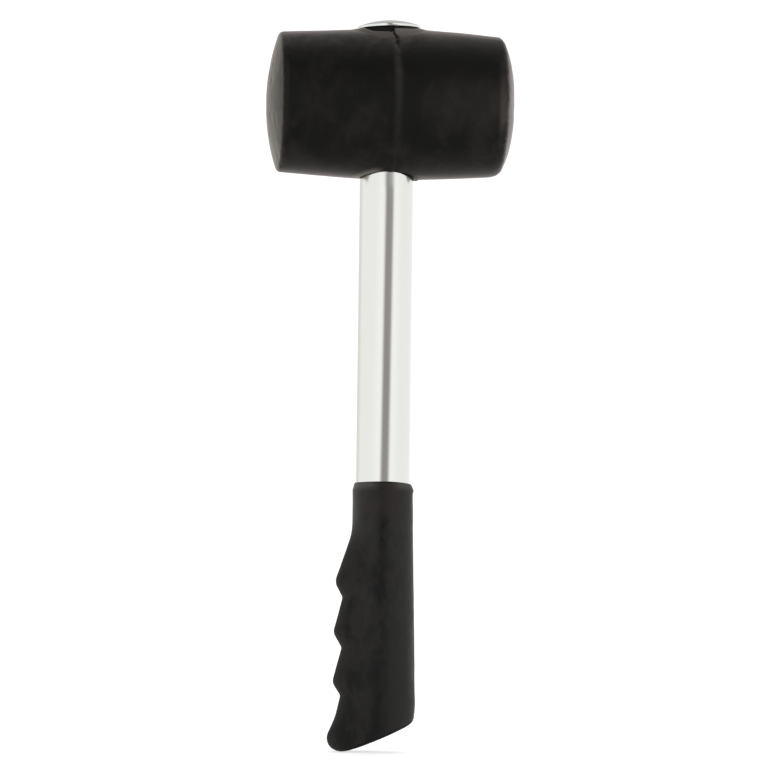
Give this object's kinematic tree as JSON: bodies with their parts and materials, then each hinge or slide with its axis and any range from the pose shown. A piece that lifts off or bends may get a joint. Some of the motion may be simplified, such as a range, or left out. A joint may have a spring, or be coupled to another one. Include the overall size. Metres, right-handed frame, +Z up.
{
  "type": "rubber mallet",
  "caption": "Barrel-shaped black rubber mallet head with crowned faces on a straight chromed steel tube handle, with a domed end cap and a moulded finger grip.",
  "frame": {"origin": "on the axis of the handle tube, level with the lowest point of the butt's heel, which is the bottom centre of the bounding box", "axes": "+Z up the handle towards the head; X along the striking axis of the head, with the finger grooves of the grip facing -X; Y across the tool"},
  "size_m": [0.1147, 0.0712, 0.3399],
  "materials": {
    "head_rubber": "dense black moulded rubber, satin, with a dusty bloom on the striking faces",
    "chromed_steel": "bright chrome plate with faint lengthwise polishing lines",
    "hardwood": "raw turned beech",
    "grip_rubber": "matt moulded rubber, slightly mottled",
    "plug_plastic": "black moulded plastic"
  },
  "bodies": {
    "root": {"rubber_head": "head_rubber", "handle_tube": "chromed_steel", "top_cap": "chromed_steel", "core_dowel": "hardwood", "grip_sleeve": "grip_rubber", "tube_end_plug": "plug_plastic"}
  },
  "joints": []
}
